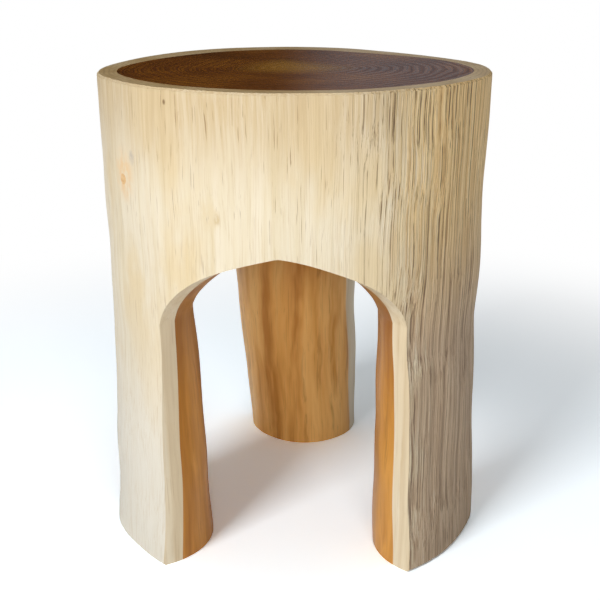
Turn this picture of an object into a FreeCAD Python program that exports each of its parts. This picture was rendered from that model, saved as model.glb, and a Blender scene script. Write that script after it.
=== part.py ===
import FreeCAD, Part
import math
import os

import Sketcher
from FreeCAD import Placement, Rotation, Vector

# Three-legged stool carved from one log. Millimetres, +Z up, origin on the floor under the middle.
# The log has three soft lobes, one near each leg. Its pale sapwood surrounds a brown heartwood core.
# Under the seat the wood is cut away round three leaning posts whose tops flare into a shallow vault.

SIZES = [
    ("stool_height", 450),
    # log's plan outline at the seat: lobe arcs joined by flatter side arcs
    ("log_axis_x", 0.5),
    ("log_axis_y", -4.8),
    ("lobe_radius", 139),
    ("rear_lobe_x", -11.2),
    ("rear_lobe_y", 45),
    ("left_lobe_x", -38.7),
    ("left_lobe_y", -20),
    ("right_lobe_x", 41.8),
    ("right_lobe_y", -15),
    ("left_side_flatness", 3.1),
    ("front_side_flatness", 0.12),
    ("right_side_flatness", 8),
    # log's waist and foot, against the seat's outline
    ("waist_height", 215),
    ("waist_inset", 1.5),
    ("foot_spread", 7),
    ("rim_bevel", 2),
    ("foot_bevel", 2),
    # thickness of the sapwood over each lobe
    ("rear_sapwood", 31),
    ("left_sapwood", 18),
    ("right_sapwood", 17),
    # flare on top of each post: a tight shoulder, a wide vault and a last straight rise
    ("spring_height", 230),
    ("flare_tuck", 2),
    ("shoulder_radius", 52),
    ("shoulder_slope", 50),
    ("vault_radius", 130),
    ("crown_slope", 9),
    ("vault_reach", 240),
    ("post_top", 390),
    ("seat_floor", 340),
    # each post's foot, and its lean and radius up at the springing
    ("post_foot_radius", 63),
    ("rear_foot_x", 11),
    ("rear_foot_y", 168),
    ("rear_lean_x", -12),
    ("rear_lean_y", 9),
    ("rear_spring_radius", 73.5),
    ("left_foot_x", -145),
    ("left_foot_y", -84),
    ("left_lean_x", -17),
    ("left_lean_y", -1),
    ("left_spring_radius", 70),
    ("right_foot_x", 141),
    ("right_foot_y", -100),
    ("right_lean_x", 6),
    ("right_lean_y", 1),
    ("right_spring_radius", 70),
    # healed swelling on the left leg
    ("burl_angle", 197),
    ("burl_reach", 151),
    ("burl_height", 179),
    ("burl_depth", 30),
    ("burl_half_width", 40),
    ("burl_half_height", 60),
    # branch knot in the seat's left side
    ("knot_angle", 217),
    ("knot_height", 367),
    ("knot_root_reach", 150),
    ("knot_length", 50),
    ("knot_root_radius", 2.5),
    ("knot_face_radius", 6),
]
LOBES = ("rear", "left", "right")
SIDES = ("left", "front", "right")
OVERRUN = 10

doc = FreeCAD.newDocument("stool")
sheet = doc.addObject("Spreadsheet::Sheet", "Sizes")
for row, (alias, value) in enumerate(SIZES, start=1):
    sheet.set(f"A{row}", alias)
    sheet.set(f"B{row}", str(value))
    sheet.setAlias(f"B{row}", alias)
doc.recompute()


def size(alias):
    return float(sheet.get(alias))


def bind(obj, **expressions):
    for path, expression in expressions.items():
        obj.setExpression(path.replace("__", "."), expression)


def plane(body, role):
    return next(item for item in body.Origin.OriginFeatures if item.Role == role)


def attach(obj, body, role):
    obj.AttachmentSupport = (plane(body, role), [""])
    obj.MapMode = "FlatFace"


def constrain(sketch, kind, *where, expression=None):
    index = sketch.addConstraint(Sketcher.Constraint(kind, *where))
    if expression:
        sketch.setExpression(f"Constraints[{index}]", expression)


def heading(start, end):
    return math.atan2(end.y - start.y, end.x - start.x)


def arc(centre, radius, start, end):
    if end < start:
        end += 2 * math.pi
    return Part.ArcOfCircle(Part.Circle(centre, Vector(0, 0, 1), radius), start, end)


def side_centre(first, second, first_gap, second_gap):
    # centre of a side arc at the given distances from two lobe centres, on the far side of the log
    span = second.sub(first)
    along = (first_gap**2 - second_gap**2 + span.Length**2) / (2 * span.Length)
    across = math.sqrt(first_gap**2 - along**2)
    unit = span.normalize()
    return first + unit * along + Vector(-unit.y, unit.x, 0) * across


def lobed_section(body, name, height, radius_change, sapwood):
    # closed outline of six tangent arcs: a lobe, then the side arc that follows it, three times
    sketch = body.newObject("Sketcher::SketchObject", name)
    attach(sketch, body, "XY_Plane")
    bind(
        sketch,
        AttachmentOffset__Base__x="Sizes.log_axis_x",
        AttachmentOffset__Base__y="Sizes.log_axis_y",
        AttachmentOffset__Base__z=height,
    )
    centres = [Vector(size(f"{lobe}_lobe_x"), size(f"{lobe}_lobe_y"), 0) for lobe in LOBES]
    radius_words = []
    for lobe in LOBES:
        skin = f" - Sizes.{lobe}_sapwood" if sapwood else ""
        radius_words.append(f"Sizes.lobe_radius + ({radius_change}){skin}")
    radii = [sheet.evalExpression(words) for words in radius_words]
    side_words = []
    side_centres = []
    for i, side in enumerate(SIDES):
        here, there = LOBES[i], LOBES[(i + 1) % 3]
        span = (
            f"sqrt((Sizes.{here}_lobe_x - Sizes.{there}_lobe_x)^2"
            f" + (Sizes.{here}_lobe_y - Sizes.{there}_lobe_y)^2)"
        )
        mean = f"(({radius_words[i]}) + ({radius_words[(i + 1) % 3]})) / 2"
        side_words.append(f"{mean} + {span} / 2 * (1 + Sizes.{side}_side_flatness)")
    side_radii = [sheet.evalExpression(words) for words in side_words]
    for i in range(3):
        j = (i + 1) % 3
        gaps = (side_radii[i] - radii[i], side_radii[i] - radii[j])
        side_centres.append(side_centre(centres[i], centres[j], *gaps))
    for i in range(3):
        before, after, onward = side_centres[i - 1], side_centres[i], centres[(i + 1) % 3]
        sketch.addGeometry(arc(centres[i], radii[i], heading(before, centres[i]), heading(after, centres[i])))
        sketch.addGeometry(arc(after, side_radii[i], heading(after, centres[i]), heading(after, onward)))
    for i in range(6):
        constrain(sketch, "Tangent", i, 2, (i + 1) % 6, 1)
    for i, lobe in enumerate(LOBES):
        constrain(sketch, "DistanceX", -1, 1, 2 * i, 3, centres[i].x, expression=f"Sizes.{lobe}_lobe_x")
        constrain(sketch, "DistanceY", -1, 1, 2 * i, 3, centres[i].y, expression=f"Sizes.{lobe}_lobe_y")
        constrain(sketch, "Radius", 2 * i, radii[i], expression=radius_words[i])
        constrain(sketch, "Radius", 2 * i + 1, side_radii[i], expression=side_words[i])
    return sketch


def lobed_column(name, sapwood, overrun):
    # column through the foot, waist and seat outlines, whose arcs share their centres
    body = doc.addObject("PartDesign::Body", name)
    levels = (
        ("foot", f"-{overrun}", "Sizes.foot_spread"),
        ("waist", "Sizes.waist_height", "-Sizes.waist_inset"),
        ("seat", f"Sizes.stool_height + {overrun}", "0"),
    )
    sections = [lobed_section(body, f"{name}_{level}", *words, sapwood) for level, *words in levels]
    doc.recompute()
    loft = body.newObject("PartDesign::AdditiveLoft", f"{name}_loft")
    loft.Profile = sections[0]
    loft.Sections = sections[1:]
    loft.Ruled = True
    doc.recompute()
    return body


def edges_at(shape, height):
    # numbers of the edges that lie flat at one height
    found = []
    for number, edge in enumerate(shape.Edges, start=1):
        box = edge.BoundBox
        if abs(box.ZMin - height) < 0.01 and abs(box.ZMax - height) < 0.01:
            found.append(number)
    return found


def log_column():
    body = lobed_column("log", False, 0)
    burl = body.newObject("PartDesign::AdditiveEllipsoid", "burl")
    attach(burl, body, "XY_Plane")
    bind(
        burl,
        Radius1="Sizes.burl_half_height",
        Radius2="Sizes.burl_depth",
        Radius3="Sizes.burl_half_width",
        AttachmentOffset__Base__x="Sizes.log_axis_x + Sizes.burl_reach * cos(Sizes.burl_angle * 1 deg)",
        AttachmentOffset__Base__y="Sizes.log_axis_y + Sizes.burl_reach * sin(Sizes.burl_angle * 1 deg)",
        AttachmentOffset__Base__z="Sizes.burl_height",
        AttachmentOffset__Rotation__Angle="Sizes.burl_angle * 1 deg",
    )
    doc.recompute()
    last = burl
    for name, height in (("rim", "stool_height"), ("foot", None)):
        level = size(height) if height else 0
        bevel = body.newObject("PartDesign::Chamfer", f"{name}_bevel")
        bevel.Base = (last, [f"Edge{number}" for number in edges_at(last.Shape, level)])
        bind(bevel, Size=f"Sizes.{name}_bevel")
        doc.recompute()
        last = bevel
    return body


def flare_profile(body, name, centre_x, centre_y, spring_radius):
    # half outline of a post's flared top: springing, shoulder arc, vault arc, straight rise, hidden top
    spring = Vector(sheet.evalExpression(spring_radius), size("spring_height"), 0)
    tight, wide = size("shoulder_radius"), size("vault_radius")
    shoulder_slope, crown_slope = math.radians(size("shoulder_slope")), math.radians(size("crown_slope"))
    reach, top = size("vault_reach"), size("post_top")
    shoulder = spring + Vector(tight, 0, 0)
    out_of_shoulder = Vector(-math.sin(shoulder_slope), math.cos(shoulder_slope), 0)
    meet = shoulder + out_of_shoulder * tight
    vault = meet - out_of_shoulder * wide
    rise = vault + Vector(-math.sin(crown_slope), math.cos(crown_slope), 0) * wide
    tip = Vector(reach, rise.y + (reach - rise.x) * math.tan(crown_slope), 0)
    wall_top, axis_top, axis_spring = Vector(reach, top, 0), Vector(0, top, 0), Vector(0, spring.y, 0)
    sketch = body.newObject("Sketcher::SketchObject", name)
    attach(sketch, body, "XZ_Plane")
    bind(sketch, AttachmentOffset__Base__x=centre_x, AttachmentOffset__Base__z=f"-({centre_y})")
    for shape in (
        Part.LineSegment(axis_spring, spring),
        arc(shoulder, tight, heading(shoulder, meet), heading(shoulder, spring)),
        arc(vault, wide, heading(vault, rise), heading(vault, meet)),
        Part.LineSegment(rise, tip),
        Part.LineSegment(tip, wall_top),
        Part.LineSegment(wall_top, axis_top),
        Part.LineSegment(axis_top, axis_spring),
    ):
        sketch.addGeometry(shape)
    for joined in ((0, 2, 1, 2), (3, 2, 4, 1), (4, 2, 5, 1), (5, 2, 6, 1), (6, 2, 0, 1)):
        constrain(sketch, "Coincident", *joined)
    for smooth in ((1, 1, 2, 2), (2, 1, 3, 1)):
        constrain(sketch, "Tangent", *smooth)
    for level in (0, 5):
        constrain(sketch, "Horizontal", level)
    for upright in (4, 6):
        constrain(sketch, "Vertical", upright)
    constrain(sketch, "Horizontal", 1, 2, 1, 3)
    constrain(sketch, "PointOnObject", 0, 1, -2)
    constrain(sketch, "DistanceX", -1, 1, 0, 2, spring.x, expression=spring_radius)
    constrain(sketch, "DistanceY", -1, 1, 0, 2, spring.y, expression="Sizes.spring_height")
    constrain(sketch, "Radius", 1, tight, expression="Sizes.shoulder_radius")
    constrain(sketch, "Radius", 2, wide, expression="Sizes.vault_radius")
    hand_over = "Sizes.shoulder_radius * sin(Sizes.shoulder_slope * 1 deg)"
    constrain(sketch, "DistanceX", 1, 1, 1, 3, shoulder.x - meet.x, expression=hand_over)
    constrain(sketch, "Angle", 3, crown_slope, expression="Sizes.crown_slope * 1 deg")
    constrain(sketch, "DistanceX", -1, 1, 3, 2, reach, expression="Sizes.vault_reach")
    constrain(sketch, "DistanceY", -1, 1, 4, 2, top, expression="Sizes.post_top")
    return sketch


def post(lobe):
    # one leaning shaft, sunk in the floor and in the seat, and the upright flare round its top
    foot_x, foot_y = f"Sizes.log_axis_x + Sizes.{lobe}_foot_x", f"Sizes.log_axis_y + Sizes.{lobe}_foot_y"
    lean_x, lean_y, rise = f"Sizes.{lobe}_lean_x", f"Sizes.{lobe}_lean_y", "Sizes.spring_height"
    foot_radius, spring_radius = "Sizes.post_foot_radius", f"Sizes.{lobe}_spring_radius"
    sunk, buried = f"(-{OVERRUN} / {rise})", f"(Sizes.seat_floor / {rise})"
    shaft = doc.addObject("Part::Cone", f"{lobe}_shaft")
    base = f"vector({foot_x} + {lean_x} * {sunk}; {foot_y} + {lean_y} * {sunk}; -{OVERRUN})"
    tilt = (
        f"rotation(vector(0; 1; 0); atan({lean_x} / {rise}))"
        f" * rotation(vector(1; 0; 0); -atan({lean_y} / hypot({lean_x}; {rise})))"
    )
    bind(
        shaft,
        Radius1=f"{foot_radius} + ({spring_radius} - {foot_radius}) * {sunk}",
        Radius2=f"{foot_radius} + ({spring_radius} - {foot_radius}) * {buried}",
        Height=f"({buried} - {sunk}) * hypot({lean_x}; {lean_y}; {rise})",
        Placement=f"placement({base}; {tilt})",
    )
    body = doc.addObject("PartDesign::Body", f"{lobe}_flare")
    spring = (f"{foot_x} + {lean_x}", f"{foot_y} + {lean_y}", f"{spring_radius} - Sizes.flare_tuck")
    profile = flare_profile(body, f"{lobe}_profile", *spring)
    doc.recompute()
    turn = body.newObject("PartDesign::Revolution", f"{lobe}_turn")
    turn.Profile = profile
    turn.ReferenceAxis = (profile, ["V_Axis"])
    turn.Angle = 360
    doc.recompute()
    return [shaft, body]


def seat_block():
    # everything above the vault, wider than the log
    block = doc.addObject("Part::Cylinder", "seat_block")
    bind(
        block,
        Radius="2 * Sizes.lobe_radius",
        Height=f"Sizes.stool_height - Sizes.seat_floor + {OVERRUN}",
        Placement__Base__z="Sizes.seat_floor",
    )
    return block


def knot_spike():
    # tapered branch root lying level, pointing straight out of the log
    spike = doc.addObject("Part::Cone", "knot_spike")
    turn = math.radians(size("knot_angle"))
    spike.Placement = Placement(Vector(), Rotation(Vector(-math.sin(turn), math.cos(turn), 0), 90))
    bind(
        spike,
        Radius1="Sizes.knot_root_radius",
        Radius2="Sizes.knot_face_radius",
        Height="Sizes.knot_length",
        Placement__Base__x="Sizes.log_axis_x + Sizes.knot_root_reach * cos(Sizes.knot_angle * 1 deg)",
        Placement__Base__y="Sizes.log_axis_y + Sizes.knot_root_reach * sin(Sizes.knot_angle * 1 deg)",
        Placement__Base__z="Sizes.knot_height",
    )
    return spike


def combine(kind, name, base, tool):
    result = doc.addObject(kind, name)
    result.Base = base
    result.Tool = tool
    doc.recompute()
    return result


log = log_column()
core = lobed_column("core", True, OVERRUN)
spike = knot_spike()
heart_column = combine("Part::Common", "heart_column", log, core)
ring = combine("Part::Cut", "ring", log, core)
bored_ring = combine("Part::Cut", "bored_ring", ring, spike)
kept = doc.addObject("Part::MultiFuse", "kept_wood")
kept.Shapes = [seat_block()] + [piece for lobe in LOBES for piece in post(lobe)]
doc.recompute()
heartwood = combine("Part::Common", "heartwood", heart_column, kept)
sapwood = combine("Part::Common", "sapwood", bored_ring, kept)
knot = combine("Part::Common", "knot", ring, spike)

for item in doc.Objects:
    if {"Invalid", "Error"} & set(item.State):
        raise RuntimeError(f"{item.Name} did not build: {item.State}")
os.makedirs("parts", exist_ok=True)
for node in (heartwood, sapwood, knot):
    shape = node.Shape
    if shape.isNull() or not shape.isValid() or len(shape.Solids) != 1:
        raise RuntimeError(f"{node.Label} is not one valid solid")
    shape.exportStep(f"parts/{node.Label}.step")
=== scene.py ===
import math

import bmesh
import bpy
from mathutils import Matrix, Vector, noise
from mathutils.bvhtree import BVHTree


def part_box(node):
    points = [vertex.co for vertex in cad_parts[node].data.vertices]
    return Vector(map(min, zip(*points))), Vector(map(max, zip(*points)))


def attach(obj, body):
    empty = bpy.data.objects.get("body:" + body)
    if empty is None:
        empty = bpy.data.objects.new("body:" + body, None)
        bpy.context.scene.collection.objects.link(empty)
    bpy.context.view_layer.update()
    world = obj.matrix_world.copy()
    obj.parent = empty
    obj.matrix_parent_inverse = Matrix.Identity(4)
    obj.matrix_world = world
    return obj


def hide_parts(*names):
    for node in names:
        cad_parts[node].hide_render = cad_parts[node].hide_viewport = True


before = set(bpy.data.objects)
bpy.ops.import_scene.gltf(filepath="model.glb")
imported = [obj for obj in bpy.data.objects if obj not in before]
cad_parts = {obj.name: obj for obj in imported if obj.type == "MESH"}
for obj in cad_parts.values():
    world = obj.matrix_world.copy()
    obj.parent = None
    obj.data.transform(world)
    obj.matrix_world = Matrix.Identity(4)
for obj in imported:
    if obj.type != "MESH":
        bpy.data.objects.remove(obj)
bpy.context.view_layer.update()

# Three-legged stool carved from one log, dressed as oiled wood. Metres, Z up, with the feet at zero.

# camera: where it stands, its tilt up from looking straight down, and its lens
CAMERA_PLACE = (0.00653, -0.9600, 0.5595)
CAMERA_TILT = math.radians(70.29)
LENS_MM = 60
SENSOR_MM = 36
NEAREST_SEEN = 0.01

# lamps: name, place, the point they are aimed at, side and watts
LAMPS = (
    ("key", (-1.55, -1.95, 1.85), (0, 0, 0.25), 1.0, 53),
    ("front", (0.35, -2.5, 0.7), (0, 0, 0.2), 1.0, 22),
    ("top", (0.2, 0.3, 2.4), (0, 0, 0.2), 1.6, 9),
)
# share of the white surroundings that lights the stool
WORLD_FILL = 0.15
WHITE = (1, 1, 1, 1)

# floor: half its side, its colour for bounced light and as it is seen, and the distances from the stool's
# middle between which it turns plain white
FLOOR_HALF = 6
FLOOR_BOUNCE = (0.7, 0.7, 0.7, 1)
FLOOR_SEEN = (1.48, 1.61, 1.71, 1)
FLOOR_FADE = (0.3, 1.0)

# round wall of a dim room with tall windows, mirrored in the polished seat
WALL_SIDES = 96
WALL_RADIUS = 3
WALL_TOP = 4
WALL_COLOUR = (0.012, 0.010, 0.008, 1)
WINDOWS = 3
WINDOW_TURN = math.radians(82)
WINDOW_COLOUR = (0.19, 0.22, 0.26, 1)
# where a window fades in: cosines at its sides, and heights at its sill
WINDOW_SIDE = (0.88, 0.99)
WINDOW_SILL = (0.45, 0.75)

# log: its axis, how far its skin lies from there, and the seat's height
AXIS = Vector((0.0005, -0.0048, 0))
SKIN_REACH = 0.172
SEAT_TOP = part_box("heartwood")[1].z

# kinds of surface, and the longest mesh edge in each
ZONES = ("skin", "cut", "end", "foot", "hidden")
EDGE = {"skin": 0.0038, "cut": 0.008, "end": 0.007, "foot": 0.02, "hidden": 0.03}
MOST_PASSES = 60
SMOOTH_ANGLE = math.radians(28)
# corners this close are joined, and slivers this thin are dissolved
WELD = 3e-4
SLIVER = 1e-4
# parts of a face's direction that tell the kinds apart: upwards or downwards, and away from the axis
LEVEL = 0.9
UPRIGHT = 0.3
SKIN_FACING = 0.55
BORDER_FACING = 0.5
FOOT_HEIGHT = 0.001

# relief of the log's skin: how deep below the skin it fades out, and the share at which it ends
RELIEF_DEPTH = 0.006
LEAST_FADE = 0.01
# its slow swellings, ripples along the grain, and grooves in the weathered side, each with its height and
# its features to the metre
SWELL = 0.0011
SWELLS = Vector((16, 16, 9))
RIPPLE = 0.00028
RIPPLES = Vector((75, 75, 8))
GROOVE = 0.00098
GROOVES = Vector((120, 120, 3.5))
# lift of the grooves' pattern, which makes them wider
GROOVE_WIDENING = 0.1
# hand-cut waviness of the whole surface, sideways only, with its waves to the metre
WOBBLE = Vector((0.0024, 0.0024, 0))
WOBBLE_WAVES = 16
WOBBLE_SEED = 11
# front arch's crown, cut a little higher
CROWN = Vector((-0.0085, -0.18, 0.305))
CROWN_REACH = Vector((0.036, 0.07, 0.05))
CROWN_RISE = 0.0053

# weathered side, as angles round the log: where it begins, is full, begins to fade and ends
WEATHER = (-1.2, -0.86, 0.75, 1.35)

# where the skin's colours set in and are full: heights, and one place from right to left
BLEACH_HEIGHT = (0.30, 0.08)
BLEACH_LEFT = (-0.03, -0.09)
RIM_HEIGHT = (0.35, 0.445)
TICK_HEIGHT = (0.15, 0.45)
GREY_HEIGHT = (0.38, 0.2)
CRACK_HEIGHT = (0.1, 0.42)
# marks on the skin: degrees round the log, height, size and colour
MARKS = (
    (-143, 0.371, 0.018, "DFC196"),
    (-138.5, 0.388, 0.005, "BDB1A0"),
    (-124.5, 0.439, 0.0018, "8A7050"),
    (-112, 0.350, 0.012, "D9C8A6"),
    (-110, 0.347, 0.004, "CBB68F"),
)
# a mark's width against its height, and the share of its size that is full
MARK_WIDTH = 0.6
MARK_CORE = 0.3

# where the heartwood's colours set in and are full: front to rear (painted light on the rear leg, then the
# stain), right to left, depth below the skin (the stain, then the seat's middle, partly a painted glint),
# and height under the vault (painted shade)
REAR_PAINTED_LIGHT = (0.03, 0.1)
REAR_STAIN = (0.06, 0.09)
LEFT_STAIN = (-0.01, -0.03)
DEEP_STAIN = (0.0245, 0.0275)
CORE_AND_GLINT_DEPTH = (0.11, 0.16)
VAULT_SHADE = (0.15, 0.27)

# sways of the grain: features to the metre across and along the trunk, detail and reach
GRAIN_SWAYS = ((9, 2.5, 1, 0.012), (34, 11, 2, 0.005))
HEART_SWAY = (13, 8, 3, 0.022)
# spacing of the growth rings, and how far they wander
SAP_RINGS = 0.0042
BROAD_RINGS = 0.0095
NARROW_RINGS = 0.0037
RING_DRIFT = 0.02

# colour sockets of a mix node
MIX_FIRST = 6
MIX_SECOND = 7
MIX_RESULT = 2


def lin(hex_colour):
    # linear colour from a written one
    parts = [int(hex_colour[i : i + 2], 16) / 255 for i in (0, 2, 4)]
    return tuple(p / 12.92 if p <= 0.04045 else ((p + 0.055) / 1.055) ** 2.4 for p in parts) + (1,)


def smoothstep(low, high, value):
    t = min(max((value - low) / (high - low), 0), 1)
    return t * t * (3 - 2 * t)


def outward(point):
    # level direction from the log's axis to a point
    return Vector((point.x - AXIS.x, point.y - AXIS.y, 0)).normalized()


def new_object(name, data):
    # object linked into the scene
    made = bpy.data.objects.new(name, data)
    bpy.context.scene.collection.objects.link(made)
    return made


# meshes

def zone(node, face):
    # which kind of surface a solid's face belongs to
    centre = face.calc_center_median()
    facing = face.normal.dot(outward(centre))
    if face.normal.z > LEVEL and centre.z > SEAT_TOP / 2:
        return "end"
    if face.normal.z < -LEVEL and centre.z < FOOT_HEIGHT:
        return "foot"
    if node == "heartwood":
        return "hidden" if facing > BORDER_FACING else "cut"
    if facing > SKIN_FACING:
        return "skin"
    return "hidden" if facing < -BORDER_FACING and abs(face.normal.z) < UPRIGHT else "cut"


def clean_copy(node):
    # joined-up copy of a node's mesh, each face marked with its zone
    bm = bmesh.new()
    bm.from_mesh(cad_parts[node].data)
    bmesh.ops.remove_doubles(bm, verts=bm.verts, dist=WELD)
    bmesh.ops.dissolve_degenerate(bm, dist=SLIVER, edges=bm.edges[:])
    bmesh.ops.triangulate(bm, faces=bm.faces[:])
    bmesh.ops.recalc_face_normals(bm, faces=bm.faces)
    for face in bm.faces:
        face.material_index = ZONES.index(zone(node, face))
    return bm


def refine(bm):
    # split the longest edge of each face, over and over, until all are short enough for their zone
    limits = [EDGE[name] for name in ZONES]
    for _ in range(MOST_PASSES):
        long_edges = []
        for edge in bm.edges:
            length = edge.calc_length()
            if length > min(limits[face.material_index] for face in edge.link_faces):
                long_edges.append((length, edge))
        if not long_edges:
            break
        long_edges.sort(key=lambda pair: -pair[0])
        for face in bm.faces:
            face.tag = False
        chosen = []
        for _, edge in long_edges:
            if not any(face.tag for face in edge.link_faces):
                chosen.append(edge)
            for face in edge.link_faces:
                face.tag = True
        bmesh.ops.subdivide_edges(bm, edges=chosen, cuts=1, use_single_edge=True)


def skin_tree():
    # the log's skin, for finding how deep a point lies below it
    bm = clean_copy("sapwood")
    bm.verts.index_update()
    corners = [vert.co.copy() for vert in bm.verts]
    skin = ZONES.index("skin")
    faces = [[vert.index for vert in face.verts] for face in bm.faces if face.material_index == skin]
    bm.free()
    return BVHTree.FromPolygons(corners, faces)


def weathered(point):
    # 1 on the weathered side of the log, 0 on the pale side
    around = math.atan2(point.y - AXIS.y, point.x - AXIS.x)
    begin, full, fade, end = WEATHER
    return smoothstep(begin, full, around) * (1 - smoothstep(fade, end, around))


def relief(point):
    # how far the log's skin stands out at a point
    swell = SWELL * noise.noise(point * SWELLS)
    ripple = RIPPLE * noise.noise(point * RIPPLES)
    groove = GROOVE * max(noise.noise(point * GROOVES) + GROOVE_WIDENING, 0)
    return swell + ripple - weathered(point) * groove


def wobble(point):
    # drift of the wood, the same for every piece, with the top and the feet kept level
    apart = [(point[i] - CROWN[i]) / CROWN_REACH[i] for i in range(3)]
    rise = CROWN_RISE * math.exp(-sum(step * step for step in apart))
    return noise.noise_vector(point * WOBBLE_WAVES) * WOBBLE + Vector((0, 0, rise))


def dress(node, tree, materials):
    # fine copy of a node with relief on its skin, standing for the node
    bm = clean_copy(node)
    refine(bm)
    depth_layer = bm.verts.layers.float.new("depth")
    for vert in bm.verts:
        depth = tree.find_nearest(vert.co)[3]
        vert[depth_layer] = depth
        fade = math.exp(-((depth / RELIEF_DEPTH) ** 2))
        shift = wobble(vert.co)
        if fade > LEAST_FADE:
            shift += outward(vert.co) * relief(vert.co) * fade
        vert.co += shift
    bm.normal_update()
    for edge in bm.edges:
        edge.smooth = edge.calc_face_angle(0) < SMOOTH_ANGLE
    for face in bm.faces:
        face.smooth = True
    mesh = bpy.data.meshes.new(f"{node}_wood")
    bm.to_mesh(mesh)
    bm.free()
    for name in ZONES:
        mesh.materials.append(materials[name])
    piece = new_object(f"{node}_wood", mesh)
    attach(piece, "root")
    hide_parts(node)


# materials

class Paint:
    """The node tree of a material or of the world, with short ways to add to it."""

    def __init__(self, owner):
        owner.use_nodes = True
        self.owner = owner
        self.tree = owner.node_tree
        self.place = self.add("ShaderNodeTexCoord").outputs["Object"]

    def add(self, kind, feed=None, **traits):
        node = self.tree.nodes.new(kind)
        for trait, value in traits.items():
            setattr(node, trait, value)
        for socket, value in (feed or {}).items():
            self.put(node.inputs[socket], value)
        return node

    def put(self, socket, value):
        # link a socket to another, or give it a plain value
        if isinstance(value, bpy.types.NodeSocket):
            self.tree.links.new(value, socket)
        else:
            socket.default_value = value

    def show(self, shader):
        # shader seen on the surface
        self.put(self.tree.nodes["Material Output"].inputs["Surface"], shader.outputs[0])

    def vector(self, operation, first, second=None, scale=None):
        node = self.add("ShaderNodeVectorMath", {0: first}, operation=operation)
        if second is not None:
            self.put(node.inputs[1], second)
        if scale is not None:
            self.put(node.inputs["Scale"], scale)
        return node.outputs["Value" if operation == "LENGTH" else "Vector"]

    def compute(self, operation, first, second=0.0):
        return self.add("ShaderNodeMath", {0: first, 1: second}, operation=operation).outputs[0]

    def product(self, first, second):
        return self.compute("MULTIPLY", first, second)

    def fit(self, value, low, high, out_low=0.0, out_high=1.0, smooth=True):
        # a range of values spread over another, and held at its ends
        feed = {"Value": value, "From Min": low, "From Max": high, "To Min": out_low, "To Max": out_high}
        interpolation = "SMOOTHSTEP" if smooth else "LINEAR"
        return self.add("ShaderNodeMapRange", feed, interpolation_type=interpolation).outputs[0]

    def mix(self, amount, first, second):
        feed = {"Factor": amount, MIX_FIRST: first, MIX_SECOND: second}
        return self.add("ShaderNodeMix", feed, data_type="RGBA").outputs[MIX_RESULT]

    def axis(self, name):
        return self.add("ShaderNodeSeparateXYZ", {0: self.place}).outputs[name]

    def around(self):
        # angle round the log's axis
        offset = self.add("ShaderNodeSeparateXYZ", {0: self.vector("SUBTRACT", self.place, tuple(AXIS))})
        return self.compute("ARCTAN2", offset.outputs["Y"], offset.outputs["X"])

    def seen_directly(self):
        # 1 for the camera and for mirrors and glass, 0 for light that bounces
        rays = self.add("ShaderNodeLightPath").outputs
        seen_or_mirrored = self.compute("MAXIMUM", rays["Is Camera Ray"], rays["Is Glossy Ray"])
        return self.compute("MAXIMUM", seen_or_mirrored, rays["Is Transmission Ray"])


class Wood(Paint):
    """A wood material, with grain along the trunk."""

    def __init__(self, name):
        super().__init__(bpy.data.materials.new(name))
        self.grain = self.place
        for sway in GRAIN_SWAYS:
            self.grain = self.swayed(self.grain, *sway)

    def stretch(self, place, across, along):
        # coordinates for a pattern with so many features to the metre across and along the trunk
        return self.add("ShaderNodeMapping", {"Vector": place, "Scale": (across, across, along)}).outputs[0]

    def noise(self, place, detail=3, rough=0.55, output=0):
        feed = {"Vector": place, "Scale": 1, "Detail": detail, "Roughness": rough}
        return self.add("ShaderNodeTexNoise", feed).outputs[output]

    def swayed(self, place, across, along, detail, reach):
        # coordinates pushed to and fro by a slow pattern
        push = self.noise(self.stretch(self.place, across, along), detail, output="Color")
        centred = self.vector("SUBTRACT", push, (0.5, 0.5, 0.5))
        return self.vector("ADD", place, self.vector("SCALE", centred, scale=reach))

    def fibres(self, across, along, detail=3, rough=0.55):
        return self.noise(self.stretch(self.grain, across, along), detail, rough)

    def ramp(self, value, *stops):
        node = self.add("ShaderNodeValToRGB", {0: value})
        band = node.color_ramp.elements
        while len(band) < len(stops):
            band.new(0.5)
        for element, (at, colour) in zip(band, stops):
            element.position = at
            element.color = lin(colour)
        return node.outputs[0]

    def depth(self):
        # distance below the log's skin
        return self.add("ShaderNodeAttribute", attribute_name="depth").outputs["Fac"]

    def spot(self, angle, height, size):
        # soft mask round one point on the log's side, taller than wide
        turned = self.compute("SUBTRACT", self.around(), math.radians(angle))
        across = self.product(turned, SKIN_REACH)
        up = self.product(self.compute("SUBTRACT", self.axis("Z"), height), MARK_WIDTH)
        squares = self.compute("ADD", self.product(across, across), self.product(up, up))
        return self.fit(self.compute("SQRT", squares), size, size * MARK_CORE)

    def finish(self, colour, rough, bumps, specular):
        inputs = self.tree.nodes["Principled BSDF"].inputs
        self.put(inputs["Base Color"], colour)
        self.put(inputs["Roughness"], rough)
        self.put(inputs["Specular IOR Level"], specular)
        normal = None
        for height, distance in bumps:
            feed = {"Height": height, "Strength": 1, "Distance": distance}
            if normal is not None:
                feed["Normal"] = normal
            normal = self.add("ShaderNodeBump", feed).outputs[0]
        self.put(inputs["Normal"], normal)
        return self.owner


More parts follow.
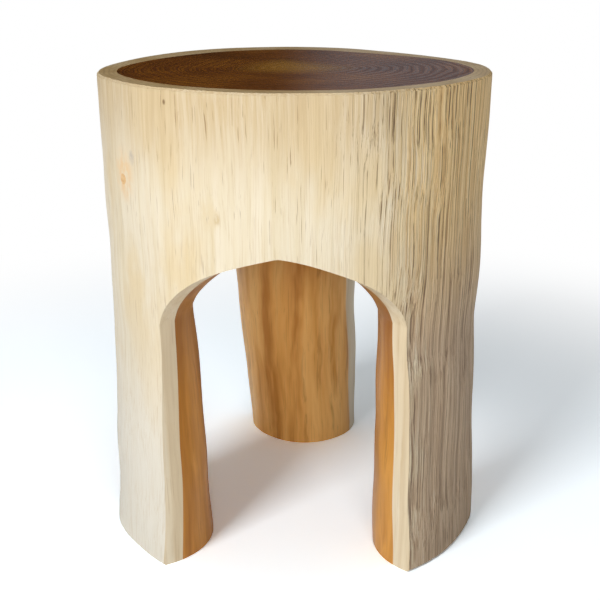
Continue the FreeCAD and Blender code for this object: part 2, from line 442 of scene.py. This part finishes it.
def pale_skin(wood, fine):
    # cream sapwood, bleached low on the left, and darker with short ticks towards the rim
    height = wood.axis("Z")
    wide = wood.fibres(120, 3.4)
    colour = wood.ramp(wide, (0.3, "D8C9A9"), (0.45, "DFD3B9"), (0.6, "E2D7C0"), (0.75, "DBCCAE"))
    blotch = wood.noise(wood.stretch(wood.place, 14, 7), detail=4)
    colour = wood.mix(wood.fit(blotch, 0.45, 0.64, 0, 0.65), colour, lin("D9C294"))
    low = wood.fit(height, *BLEACH_HEIGHT, 0, 0.8)
    bleach = wood.product(low, wood.fit(wood.axis("X"), *BLEACH_LEFT))
    colour = wood.mix(bleach, colour, lin("E2DDD1"))
    colour = wood.mix(wood.fit(fine, 0.48, 0.72, 0, 0.48), colour, lin("C3AA82"))
    uneven = wood.fit(wood.fibres(330, 9, detail=4), 0.35, 0.65, 0.55, 1)
    near_rim = wood.product(wood.fit(height, *RIM_HEIGHT), uneven)
    colour = wood.mix(near_rim, colour, lin("C6AF88"))
    ticks = wood.fit(wood.fibres(900, 22, detail=2), 0.64, 0.72)
    tick_mask = wood.product(ticks, wood.fit(height, *TICK_HEIGHT, 0.1, 0.75))
    return wood.mix(tick_mask, colour, lin("8E6E49"))


def rough_skin(wood, streaks, cracks):
    # weathered side: tan above and grey-brown below, with dark cracks along the grain
    height = wood.axis("Z")
    tan = wood.ramp(streaks, (0.32, "A57E4E"), (0.45, "DDBA82"), (0.55, "EDD09B"), (0.7, "F2DBAE"))
    grey = wood.ramp(streaks, (0.32, "8C7762"), (0.45, "B69C80"), (0.55, "C8B094"), (0.7, "D4C0A5"))
    colour = wood.mix(wood.fit(height, *GREY_HEIGHT), tan, grey)
    crack_depth = wood.fit(height, *CRACK_HEIGHT, 0.55, 0.85)
    crack_mask = wood.product(wood.fit(cracks, 0.53, 0.65), crack_depth)
    return wood.mix(crack_mask, colour, lin("543B24"))


def skin_material():
    wood = Wood("sapwood_skin")
    fine = wood.fibres(820, 14, detail=4, rough=0.65)
    streaks = wood.fibres(300, 2.6, detail=6, rough=0.72)
    cracks = wood.fibres(520, 3, detail=4, rough=0.65)
    angle = wood.compute("ADD", wood.around(), wood.fit(cracks, 0.3, 0.7, -0.3, 0.3, smooth=False))
    begin, full, fade, end = WEATHER
    weather = wood.product(wood.fit(angle, begin, full), wood.fit(angle, end, fade))
    colour = wood.mix(weather, pale_skin(wood, fine), rough_skin(wood, streaks, cracks))
    speckle = wood.noise(wood.stretch(wood.place, 190, 110), detail=4)
    for turn, level, size, tone in MARKS:
        mark = wood.product(wood.spot(turn, level, size), wood.fit(speckle, 0.35, 0.6, 0.25, 1))
        colour = wood.mix(mark, colour, lin(tone))
    furrows = wood.compute("ADD", streaks, wood.product(cracks, -0.6))
    bumps = ((fine, 0.00045), (wood.product(furrows, weather), 0.003))
    return wood.finish(colour, wood.fit(weather, 0, 1, 0.5, 0.68), bumps, specular=0.3)


def heart_colour(wood):
    # golden long grain with darker streaks, painted light brightening the rear leg, and painted shade
    # darkening the legs' tops under the vault
    figure = wood.swayed(wood.grain, *HEART_SWAY)
    wide = wood.noise(wood.stretch(figure, 42, 3.5))
    streak = wood.noise(wood.stretch(figure, 150, 3.5), detail=4, rough=0.6)
    fine = wood.fibres(700, 9)
    colour = wood.ramp(wide, (0.3, "A4682A"), (0.45, "C2863C"), (0.58, "D89C4C"), (0.72, "BC7E35"))
    # painted light: a brighter copy of the same ramp, standing in for the light that reaches the rear leg
    # through the front arch
    painted_light = wood.ramp(wide, (0.32, "C4843A"), (0.47, "EBB062"), (0.58, "F6C377"), (0.7, "D8994A"))
    colour = wood.mix(wood.fit(wood.axis("Y"), *REAR_PAINTED_LIGHT, 0, 0.9), colour, painted_light)
    colour = wood.mix(wood.fit(streak, 0.54, 0.72, 0, 0.4), colour, lin("8A5420"))
    colour = wood.mix(wood.fit(fine, 0.55, 0.75, 0, 0.3), colour, lin("7C4B1E"))
    # painted shade: darker brown high on the legs, where the vault shades them
    return wood.mix(wood.fit(wood.axis("Z"), *VAULT_SHADE, 0, 0.5), colour, lin("7A4A26"))


def sap_cut_material():
    wood = Wood("sapwood_cut")
    wide = wood.fibres(90, 2.5)
    fine = wood.fibres(620, 9, detail=4)
    colour = wood.ramp(wide, (0.3, "D3BF9C"), (0.5, "E0D0B1"), (0.7, "E7DBC2"))
    colour = wood.mix(wood.fit(fine, 0.52, 0.75, 0, 0.4), colour, lin("BDA47B"))
    # the heartwood's colour runs out to the edge on the left of the rear leg, and partly on its right
    rear = wood.fit(wood.axis("Y"), *REAR_STAIN)
    left = wood.product(wood.fit(wood.axis("X"), *LEFT_STAIN), rear)
    deep = wood.product(wood.fit(wood.depth(), *DEEP_STAIN), rear)
    colour = wood.mix(wood.compute("MAXIMUM", left, deep), colour, heart_colour(wood))
    return wood.finish(colour, 0.45, ((fine, 0.0002),), specular=0.25)


def rings(wood, spacing):
    # growth rings, wandering a little, as deep under the skin as they grew
    drift = wood.noise(wood.stretch(wood.place, 20, 20), detail=4)
    depth = wood.compute("ADD", wood.depth(), wood.product(drift, RING_DRIFT))
    return wood.compute("SINE", wood.product(depth, 2 * math.pi / spacing))


def sap_end_material():
    wood = Wood("sapwood_end")
    grain = wood.noise(wood.stretch(wood.place, 300, 300), detail=4, rough=0.6)
    wide = wood.noise(wood.stretch(wood.place, 28, 28))
    colour = wood.ramp(wide, (0.3, "BC9E6C"), (0.5, "CBB083"), (0.7, "D8C097"))
    colour = wood.mix(wood.fit(rings(wood, SAP_RINGS), 0, 1, 0, 0.45), colour, lin("927247"))
    colour = wood.mix(wood.fit(grain, 0.48, 0.7, 0, 0.4), colour, lin("86673F"))
    return wood.finish(colour, 0.32, ((grain, 0.0002),), specular=0.4)


def heart_cut_material():
    wood = Wood("heartwood_cut")
    fine = wood.fibres(700, 9)
    rough = wood.fit(wood.fibres(60, 2), 0.3, 0.7, 0.34, 0.46)
    return wood.finish(heart_colour(wood), rough, ((fine, 0.00015),), specular=0.2)


def heart_end_material():
    wood = Wood("heartwood_end")
    pores = wood.noise(wood.stretch(wood.place, 700, 700))
    wide = wood.noise(wood.stretch(wood.place, 16, 16))
    broad = rings(wood, BROAD_RINGS)
    narrow = rings(wood, NARROW_RINGS)
    colour = wood.ramp(wide, (0.3, "70400F"), (0.5, "8C5318"), (0.7, "A5681F"))
    colour = wood.mix(wood.fit(broad, -0.4, 1, 0, 0.7), colour, lin("4E270A"))
    colour = wood.mix(wood.fit(narrow, 0.1, 1, 0, 0.6), colour, lin("401D07"))
    colour = wood.mix(wood.fit(pores, 0.54, 0.7, 0, 0.5), colour, lin("34190A"))
    # lighter golden middle of the seat: partly the paler wood round the pith, partly a painted warm glint
    colour = wood.mix(wood.fit(wood.depth(), *CORE_AND_GLINT_DEPTH, 0, 0.6), colour, lin("B08030"))
    gloss = wood.fit(broad, -1, 1, 0.16, 0.3)
    return wood.finish(colour, gloss, ((pores, 0.0001), (narrow, 0.00003)), specular=0.35)


def knot_material():
    wood = Wood("knot_face")
    swirl = wood.noise(wood.stretch(wood.place, 420, 420))
    colour = wood.ramp(swirl, (0.3, "CB9C66"), (0.5, "D8B07C"), (0.7, "DFBF92"))
    return wood.finish(colour, 0.5, ((swirl, 0.0003),), specular=0.3)


# stage, light and camera

def stage_floor():
    # pale floor that keeps the stool's shadow and turns plain white far out
    corners = [(FLOOR_HALF * x, FLOOR_HALF * y, 0) for x, y in ((-1, -1), (1, -1), (1, 1), (-1, 1))]
    mesh = bpy.data.meshes.new("floor")
    mesh.from_pydata(corners, [], [(0, 1, 2, 3)])
    floor = new_object("floor", mesh)
    paint = Paint(bpy.data.materials.new("floor"))
    tone = paint.mix(paint.seen_directly(), FLOOR_BOUNCE, FLOOR_SEEN)
    matt = paint.add("ShaderNodeBsdfDiffuse", {"Color": tone})
    glow = paint.add("ShaderNodeEmission", {"Color": WHITE})
    far = paint.fit(paint.vector("LENGTH", paint.place), *FLOOR_FADE)
    paint.show(paint.add("ShaderNodeMixShader", {0: far, 1: matt.outputs[0], 2: glow.outputs[0]}))
    mesh.materials.append(paint.owner)


def studio_walls():
    # dim room with tall windows, seen only in polished wood
    turns = [2 * math.pi * i / WALL_SIDES for i in range(WALL_SIDES)]
    ring = [(WALL_RADIUS * math.cos(turn), WALL_RADIUS * math.sin(turn)) for turn in turns]
    corners = [(x, y, z) for z in (0, WALL_TOP) for x, y in ring]
    faces = []
    for i in range(WALL_SIDES):
        after = (i + 1) % WALL_SIDES
        faces.append((i, after, after + WALL_SIDES, i + WALL_SIDES))
    mesh = bpy.data.meshes.new("walls")
    mesh.from_pydata(corners, [], faces)
    walls = new_object("walls", mesh)
    for ray in ("camera", "diffuse", "transmission", "volume_scatter", "shadow"):
        setattr(walls, f"visible_{ray}", False)
    paint = Paint(bpy.data.materials.new("walls"))
    angle = paint.product(paint.compute("SUBTRACT", paint.around(), WINDOW_TURN), WINDOWS)
    pane = paint.fit(paint.compute("COSINE", angle), *WINDOW_SIDE)
    pane = paint.product(pane, paint.fit(paint.axis("Z"), *WINDOW_SILL))
    paint.show(paint.add("ShaderNodeEmission", {"Color": paint.mix(pane, WALL_COLOUR, WINDOW_COLOUR)}))
    mesh.materials.append(paint.owner)


def studio_world():
    # soft light all round; the camera sees plain white there, and so do mirrors above the walls
    world = bpy.data.worlds.new("studio")
    bpy.context.scene.world = world
    paint = Paint(world)
    background = paint.tree.nodes["Background"].inputs
    paint.put(background["Color"], WHITE)
    level = paint.fit(paint.seen_directly(), 0, 1, WORLD_FILL, 1, smooth=False)
    paint.put(background["Strength"], level)


def softbox(name, place, aim, side, power):
    # square lamp that polished wood doesn't mirror
    lamp = bpy.data.lights.new(name, "AREA")
    lamp.shape = "SQUARE"
    lamp.size = side
    lamp.energy = power
    box = new_object(name, lamp)
    box.location = place
    box.visible_glossy = False
    box.rotation_euler = (Vector(aim) - Vector(place)).to_track_quat("-Z", "Y").to_euler()


def front_camera():
    lens = bpy.data.cameras.new("camera")
    lens.lens = LENS_MM
    lens.sensor_width = SENSOR_MM
    lens.clip_start = NEAREST_SEEN
    camera = new_object("camera", lens)
    camera.location = CAMERA_PLACE
    camera.rotation_euler = (CAMERA_TILT, 0, 0)
    bpy.context.scene.camera = camera


# the stool's three kinds of wood, and what stands round it

noise.seed_set(WOBBLE_SEED)
log_skin = skin_tree()
sap_looks = dict.fromkeys(ZONES, sap_cut_material())
sap_looks |= {"skin": skin_material(), "end": sap_end_material()}
heart_looks = dict.fromkeys(ZONES, heart_cut_material())
heart_looks |= {"end": heart_end_material()}
dress("sapwood", log_skin, sap_looks)
dress("heartwood", log_skin, heart_looks)
dress("knot", log_skin, dict.fromkeys(ZONES, knot_material()))

stage_floor()
studio_walls()
studio_world()
for lamp in LAMPS:
    softbox(*lamp)
front_camera()
bpy.context.scene.view_settings.view_transform = "Standard"
